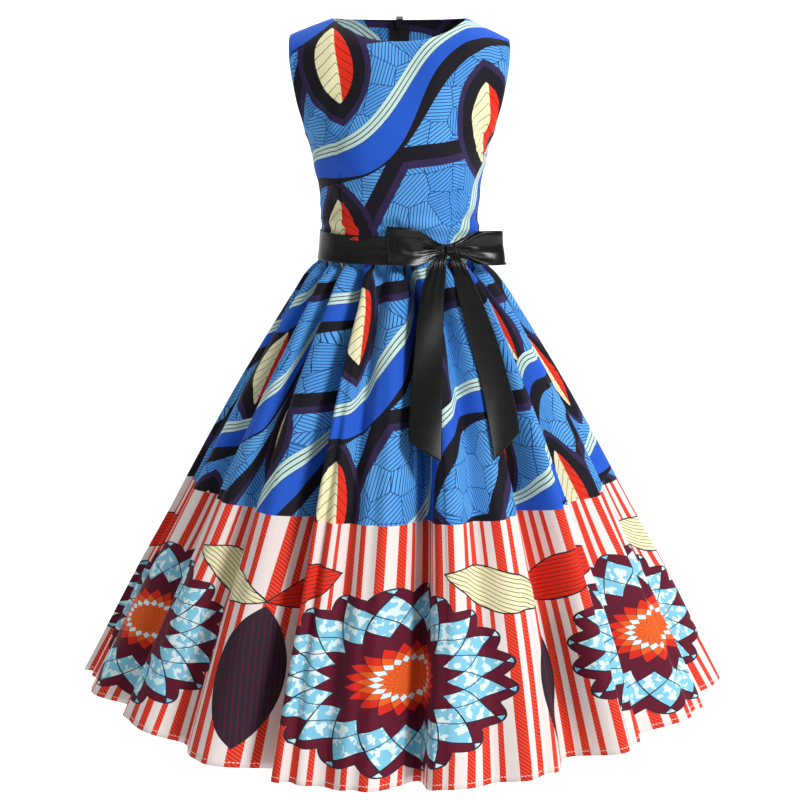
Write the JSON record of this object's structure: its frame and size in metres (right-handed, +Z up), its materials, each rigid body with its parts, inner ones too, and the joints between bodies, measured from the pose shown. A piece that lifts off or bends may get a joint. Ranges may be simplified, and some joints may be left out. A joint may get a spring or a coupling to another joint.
{
  "type": "sundress",
  "caption": "Sleeveless fitted bodice with a wide neckline and a full gathered skirt, tied at the waist with a ribbon sash and bow; opens by a zip at the back.",
  "frame": {"origin": "midway between the two neck points of the shoulder seams, where the wearer's shoulders carry the dress", "axes": "+Z up along the wearer's spine, -Y towards the front of the dress, +X towards the viewer's right of the front"},
  "size_m": [0.9495, 0.9474, 0.9944],
  "materials": {
    "printed_cotton": "matte printed cotton",
    "printed_skirt": "matte border-printed cotton",
    "black_satin": "glossy satin ribbon",
    "zip_tape": "matte woven tape",
    "zip_metal": "dark enamel"
  },
  "bodies": {
    "dress": {"bodice_front": "printed_cotton", "bodice_back_left": "printed_cotton", "bodice_back_right": "printed_cotton", "skirt_front": "printed_skirt", "skirt_back_left": "printed_skirt", "skirt_back_right": "printed_skirt", "sash_belt": "black_satin", "bow_knot": "black_satin", "bow_loop_left": "black_satin", "bow_loop_right": "black_satin", "bow_tail_left": "black_satin", "bow_tail_right": "black_satin", "zip_tape_left": "zip_tape", "zip_tape_right": "zip_tape", "zip_slider": "zip_metal"},
    "pull_tab": {"zip_pull_tab": "zip_metal"}
  },
  "joints": [
    {"name": "zip_pull_hinge", "type": "hinge", "parent": "dress", "child": "pull_tab", "pos_m": [0, 0.06694, -0.00322], "axis": [1, 0, 0], "range_deg": [0, 160]}
  ]
}
